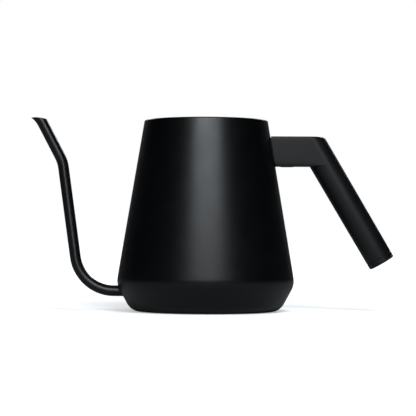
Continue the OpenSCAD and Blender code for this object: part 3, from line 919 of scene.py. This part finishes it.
class KETTLE_OT_grip(bpy.types.Operator):
    """Make the arm and grip in one moulding, and the cap in the grip's end"""

    bl_idname = "kettle.grip"
    bl_label = "Grip"

    def execute(self, context):
        body = BodyShape(context.scene.kettle_body)
        shape = GripRings(context.scene.kettle_handle, body)
        grip_moulding(shape)
        grip_cap(shape.size, shape)
        return {"FINISHED"}


def handle_pad(size, body, shape):
    """Rounded rectangle in (y, z) laid round the body: x = sqrt((R(z) + d)^2 - y^2) at the
    distance d from it. Rows run from the middle of the back over the soft edge to the
    middle of the front, as a share of the outline and a distance."""
    half_y, half_z = shape.half - size.gasket_margin, size.arm_depth / 2 - size.gasket_margin
    corners = [[half_y, half_z], [-half_y, half_z], [-half_y, -half_z], [half_y, -half_z]]
    outline = section(corners, [1.5 * MM] * 4, 1 * MM, loop=True)
    thick = size.gasket / math.cos(body.lean)
    soft = 0.03
    spread = np.array([0, 0.25, 0.5, 0.75, 1 - soft, 1, 1, 1 - soft, 0.75, 0.5, 0.25, 0])
    deep = np.array([0, 0, 0, 0, 0, 0.3, 0.7, 1, 1, 1, 1, 1]) * thick
    y = spread[:, None] * outline[:, 0]
    z = spread[:, None] * outline[:, 1] + (shape.top + shape.bottom) / 2
    x = np.sqrt((body.radius(z) + deep[:, None]) ** 2 - y ** 2)
    pad = surface("handle_pad", np.stack([x, y, z], axis=-1), ["Moulded silicone"])
    hand_over(pad, "kettle", "silicone", "handle_gasket")


def screw_plug(shape):
    """Plug turned round the screw's axis: stem, thin rim and a low crown."""
    low, high = BOX["handle_screw_plug"]
    radius = (high.x - low.x) / 2
    stem = radius - 0.4 * MM
    corners = [
        [0, high.z], [stem, high.z], [stem, shape.bottom], [radius, shape.bottom],
        [radius - 0.1 * MM, low.z + 0.12 * MM], [0, low.z],
    ]
    path = section(corners, MM * np.array([0.3, 0.05, 0.08, 0.3]), 1 * MM)
    place = (np.array([(low.x + high.x) / 2, 0, 0]), np.eye(3))
    plug = turned("screw_plug", path, ["Moulded silicone"], turns=96, place=place)
    hand_over(plug, "kettle", "plug_rubber", "handle_screw_plug")


class KETTLE_OT_fixing(bpy.types.Operator):
    """Make the pad and the plug of the handle's fixing, and dress its bracket and screw"""

    bl_idname = "kettle.fixing"
    bl_label = "Handle fixing"

    def execute(self, context):
        size = context.scene.kettle_handle
        body = BodyShape(context.scene.kettle_body)
        shape = GripShape(size, body)
        handle_pad(size, body, shape)
        screw_plug(shape)
        dress("Brushed stainless steel", "handle_bracket")
        dress("Zinc-plated fastener", "handle_screw", "handle_washer")
        return {"FINISHED"}


# ---- Lid ----


def lid_cover(size):
    """Section of the drawn sheet, turned round the axis: dish floor, dish wall, flat rim."""
    low, high = BOX["lid_cover"]
    steel, hole, dish = size.steel, size.screw_hole, size.dish_radius
    floor, foot, under = low.z + steel, dish - size.dish_draft, high.z - steel
    corners = [
        [hole, floor], [foot, floor], [dish, high.z], [high.x, high.z],
        [high.x, under], [dish + steel, under], [foot + steel, low.z], [hole, low.z],
    ]
    radii = MM * np.array([0.2, 3.2, 2.2, 0.35, 0.35, 1.4, 4.0, 0.2])
    path = section(corners, radii, 2 * MM, loop=True)
    cover = turned("lid_cover_drawn", path, ["Powder coat"], closed=True)
    for a in 2 * math.pi * steps(size.vents):
        above = [size.vent_radius * math.cos(a), size.vent_radius * math.sin(a), floor + 2 * MM]
        drill(cover, above, [0, 0, -1], size.vent_diameter / 2, 5 * MM)
    hand_over(cover, "lid", "powder_coat", "lid_cover")


def lid_skirt(size):
    """Angle section turned round the axis: welded flange, bend and skirt."""
    low, high = BOX["lid_skirt"]
    inner, bend, under = high.x - size.flange, high.x - size.skirt_steel, high.z - size.skirt_steel
    corners = [
        [inner, high.z], [high.x, high.z], [high.x, low.z],
        [bend, low.z], [bend, under], [inner, under],
    ]
    path = section(corners, MM * np.array([0.2, 1.1, 0.25, 0.25, 0.5, 0.2]), 2 * MM, loop=True)
    skirt = turned("lid_skirt_rolled", path, ["Brushed stainless steel"], closed=True)
    hand_over(skirt, "lid", "bare_steel", "lid_skirt")


def lid_seal():
    """Section with two soft beads, turned round the axis."""
    low, high = BOX["lid_seal_ring"]
    inner, bead, dip = BOX["lid_skirt"][1].x, 0.9 * MM, high.x - 0.4 * MM
    corners = [
        [inner, high.z], [dip, high.z], [high.x, high.z - bead], [dip, (low.z + high.z) / 2],
        [high.x, low.z + bead], [dip, low.z], [inner, low.z],
    ]
    path = section(corners, MM * np.array([0.1, 0.3, 0.35, 0.3, 0.35, 0.3, 0.1]), 1 * MM, loop=True)
    seal = turned("lid_seal_beaded", path, ["Moulded silicone"], closed=True)
    hand_over(seal, "lid", "silicone", "lid_seal_ring")


class KETTLE_OT_lid(bpy.types.Operator):
    """Make the drawn lid with its vents, the skirt under it and the seal ring"""

    bl_idname = "kettle.lid"
    bl_label = "Lid"

    def execute(self, context):
        size = context.scene.kettle_lid
        lid_cover(size)
        lid_skirt(size)
        lid_seal()
        return {"FINISHED"}


class KETTLE_OT_knob(bpy.types.Operator):
    """Make the knob, and dress its insert, screw and washer"""

    bl_idname = "kettle.knob"
    bl_label = "Knob"

    def execute(self, context):
        size = context.scene.kettle_lid
        low, high = BOX["lid_knob"]
        waist, head, room = size.knob_waist / 2, high.z - size.knob_head, low.z + size.insert_room
        corners = [
            [0, room], [size.insert_radius, room], [size.insert_radius, low.z],
            [waist + 0.9 * MM, low.z], [waist - 0.4 * MM, (low.z + head) / 2],
            [waist + 0.3 * MM, head + 0.4 * MM], [high.x - 0.4 * MM, head + 1.2 * MM],
            [high.x, high.z - 0.5 * size.knob_head], [high.x - 0.5 * MM, high.z],
            [high.x - 4 * MM, high.z], [0, high.z - 0.7 * MM],
        ]
        radii = MM * np.array([0.3, 0.2, 0.5, 6, 1.6, 1.4, 8, 1.5, 6])
        knob = turned("knob", section(corners, radii, 1.5 * MM), ["Moulded polypropylene"])
        hand_over(knob, "lid", "grip_plastic", "lid_knob")
        dress("Turned brass", "lid_knob_insert")
        dress("Zinc-plated fastener", "lid_knob_screw", "lid_knob_washer")
        return {"FINISHED"}


# ---- Studio ----


class KettleStudio(bpy.types.PropertyGroup):
    """Camera, lamps and backdrop."""

    distance: length("Camera distance", 1250, "Distance from the camera to the body's axis")
    camera_height: length("Camera height", 57, "Height of the camera above the table")
    camera_side: length("Camera side", 1.6, "How far the camera stands to the right")
    lens: FloatProperty(name="Lens", description="Focal length in millimetres", default=146.1, min=1)
    pitch: angle("Camera pitch", 0.893, "How far the camera looks up")
    roll: angle("Camera roll", 0.244, "How far the camera leans to the left")
    paper: colour("Paper", "#f4f4f4", "Colour of the floor")
    paper_glow: share("Paper glow", 0.4, "Share of the paper's white that is its own")


# Where the lamps aim, their cool white, and half of the floor's side
AIM = np.array([0, 0, 0.08])
DAYLIGHT = (0.94, 1.0, 1.05)
FLOOR_HALF = 9


def studio_camera(scene, size):
    """Camera that looks along +Y, turned about its own axes: first roll, then pitch."""
    camera = bpy.data.objects.new("camera", bpy.data.cameras.new("camera"))
    scene.collection.objects.link(camera)
    camera.data.lens, camera.data.sensor_width = size.lens, 36
    camera.data.clip_end = 20
    camera.location = (size.camera_side, -size.distance, size.camera_height)
    tilt = Matrix.Rotation(math.pi / 2 + size.pitch, 3, "X")
    camera.rotation_euler = (tilt @ Matrix.Rotation(size.roll, 3, "Z")).to_euler()
    scene.camera = camera


def studio_lamp(name, azimuth, elevation, distance, size, power, mirrored=True):
    """Rectangular softbox at an azimuth and elevation, aimed at the middle of the kettle. It
    is seen in reflections only if mirrored is true."""
    data = bpy.data.lights.new(name, "AREA")
    data.shape, data.energy, data.color = "RECTANGLE", power, DAYLIGHT
    data.size, data.size_y = size
    lamp = bpy.data.objects.new(name, data)
    bpy.context.scene.collection.objects.link(lamp)
    a, e = math.radians(azimuth), math.radians(elevation)
    back = np.array([math.sin(a) * math.cos(e), -math.cos(a) * math.cos(e), math.sin(e)])
    lamp.location = AIM + distance * back
    lamp.rotation_euler = (math.pi / 2 - e, 0, a)
    lamp.visible_camera, lamp.visible_glossy = False, mirrored
    return lamp


def studio_world(scene):
    """White where the camera, a reflection or glass sees it, and a dim fill elsewhere."""
    scene.world = bpy.data.worlds.new("studio")
    scene.world.use_nodes = True
    tree = scene.world.node_tree
    light = tree.nodes["Background"].inputs
    light["Color"].default_value = (1, 1, 1, 1)
    strength = add_node(tree, "ShaderNodeMapRange", {"Value": seen_rays(tree), "To Min": 0.15})
    tree.links.new(strength.outputs["Result"], light["Strength"])


def seen_rays(tree):
    """1 for rays from the camera, a reflection or glass, and 0 for others."""
    rays = add_node(tree, "ShaderNodeLightPath", {}).outputs
    seen = rays["Is Camera Ray"]
    for kind in ("Is Glossy Ray", "Is Transmission Ray"):
        pair = {0: seen, 1: rays[kind]}
        seen = add_node(tree, "ShaderNodeMath", pair, operation="MAXIMUM").outputs[0]
    return seen


def studio_floor(size):
    """Seamless paper: matt near the kettle, where part of its white is its own, and all white
    by itself further out, so that it meets the backdrop without a line."""
    tree, matt = new_finish("Seamless paper", size.paper, 1, Specular_IOR_Level=0)
    place = add_node(tree, "ShaderNodeTexCoord", {}).outputs["Object"]
    away = add_node(tree, "ShaderNodeVectorMath", {"Vector": place}, operation="LENGTH")
    spread = {"Value": away.outputs["Value"], "From Min": 0.3, "From Max": 1}
    spread.update({"To Min": size.paper_glow, "To Max": 1})
    glow = add_node(tree, "ShaderNodeMapRange", spread, interpolation_type="SMOOTHSTEP")
    own = {0: glow.outputs["Result"], 1: seen_rays(tree)}
    near = add_node(tree, "ShaderNodeMath", own, operation="MULTIPLY")
    light = add_node(tree, "ShaderNodeEmission", {"Strength": near.outputs[0]})
    both = add_node(tree, "ShaderNodeAddShader", {0: matt.outputs[0], 1: light.outputs[0]})
    # Clear from below, so that the base can be looked at
    below = add_node(tree, "ShaderNodeNewGeometry", {}).outputs["Backfacing"]
    clear = add_node(tree, "ShaderNodeBsdfTransparent", {}).outputs[0]
    sides = add_node(tree, "ShaderNodeMixShader", {0: below, 1: both.outputs[0], 2: clear})
    tree.links.new(sides.outputs[0], tree.nodes["Material Output"].inputs["Surface"])
    corners = FLOOR_HALF * np.array([[-1, -1, 0], [1, -1, 0], [1, 1, 0], [-1, 1, 0]])
    studio_sheet("floor", corners, "Seamless paper")


def studio_cards():
    """Dark cards, seen only in reflections: a tent behind the lamps with a hole in its top, a
    paler card on its back and a mat on the paper."""
    a, up = circle(72), np.array([0, 0, 1])
    turn = np.stack([np.sin(a), -np.cos(a), 0 * a], axis=-1)
    wall, hole, under_body = 1.5 * turn, 0.3 * turn, 0.05 * turn
    eaves, peak, top = 2.4 * up, 2.8 * up, 1.2 * up
    tent = np.stack([wall, wall + eaves, hole + peak])
    # From 145 to 215 degrees, just inside the tent
    behind = 1.45 * turn[29:44]
    back = np.vstack([behind, behind[::-1] + top])
    mat = np.stack([under_body, wall]) + 0.5 * MM * up
    cards = (
        ("card_tent", tent, "Black card", 0.0005),
        ("card_back", back, "Dim card", 0.15),
        ("card_mat", mat, "Grey card", 0.27),
    )
    for name, points, finish, shade in cards:
        new_finish(finish, (shade, shade, shade), 1, Specular_IOR_Level=0)
        card = studio_sheet(name, points, finish)
        card.visible_camera = card.visible_diffuse = card.visible_shadow = False


def studio_sheet(name, points, finish):
    """One sheet from its corners, or bands between rings of points (ring, place, xyz)."""
    faces = ring_faces(*points.shape[:2]) if points.ndim == 3 else [list(range(len(points)))]
    mesh = bpy.data.meshes.new(name)
    mesh.from_pydata(points.reshape(-1, 3).tolist(), [], faces)
    mesh.materials.append(bpy.data.materials[finish])
    made = bpy.data.objects.new(name, mesh)
    bpy.context.scene.collection.objects.link(made)
    return made


class KETTLE_OT_studio(bpy.types.Operator):
    """Set the camera, the soft lamps, the dark cards and the white floor"""

    bl_idname = "kettle.studio"
    bl_label = "Studio"

    def execute(self, context):
        scene = context.scene
        scene.view_settings.view_transform = "Standard"
        studio_camera(scene, scene.kettle_studio)
        studio_world(scene)
        studio_floor(scene.kettle_studio)
        studio_cards()
        # Azimuth and elevation in degrees, distance, width and height in metres, and watts
        studio_lamp("key_softbox", 2, 28.3, 1.2, (0.8, 0.137), 6.8)
        studio_lamp("back_left_softbox", 207, 28, 1.2, (0.35, 0.3), 2.5)
        studio_lamp("back_right_softbox", 153, 28, 1.2, (0.35, 0.3), 2.5)
        studio_lamp("fill_softbox", 18, 48, 1.3, (0.35, 0.35), 7.5, False)
        strip = studio_lamp("spout_strip", 4, 2, 1.1, (0.24, 0.3), 1.35)
        strip.light_linking.receiver_collection = bpy.data.collections.new("spout_strip")
        return {"FINISHED"}


class KETTLE_PT_panel(bpy.types.Panel):
    """The steps in the order in which they run"""

    bl_idname = "KETTLE_PT_panel"
    bl_label = "Pour-over kettle"
    bl_space_type = "VIEW_3D"
    bl_region_type = "UI"
    bl_category = "Kettle"

    def draw(self, context):
        for group in GROUPS:
            box = self.layout.box()
            box.label(text=group.bl_rna.name)
            sizes = getattr(context.scene, GROUPS[group])
            for name in group.__annotations__:
                box.prop(sizes, name)
        for step in STEPS:
            self.layout.operator(step.bl_idname)


GROUPS = {
    KettleBody: "kettle_body",
    KettleSpout: "kettle_spout",
    KettleHandle: "kettle_handle",
    KettleLid: "kettle_lid",
    KettleFinish: "kettle_finish",
    KettleStudio: "kettle_studio",
}
STEPS = (
    KETTLE_OT_studio,
    KETTLE_OT_finishes,
    KETTLE_OT_body,
    KETTLE_OT_base,
    KETTLE_OT_lid_seat,
    KETTLE_OT_spout,
    KETTLE_OT_grip,
    KETTLE_OT_fixing,
    KETTLE_OT_lid,
    KETTLE_OT_knob,
)


def register():
    """Adds the property groups, operators and panel."""
    for group, place in GROUPS.items():
        bpy.utils.register_class(group)
        setattr(bpy.types.Scene, place, PointerProperty(type=group))
    for made in (*STEPS, KETTLE_PT_panel):
        bpy.utils.register_class(made)


def unregister():
    """Takes them away again."""
    for made in (KETTLE_PT_panel, *reversed(STEPS)):
        bpy.utils.unregister_class(made)
    for group, place in reversed(list(GROUPS.items())):
        delattr(bpy.types.Scene, place)
        bpy.utils.unregister_class(group)


def main():
    """Runs every step in order."""
    register()
    for step in STEPS:
        family, name = step.bl_idname.split(".")
        getattr(getattr(bpy.ops, family), name)()


if __name__ == "__main__":
    main()
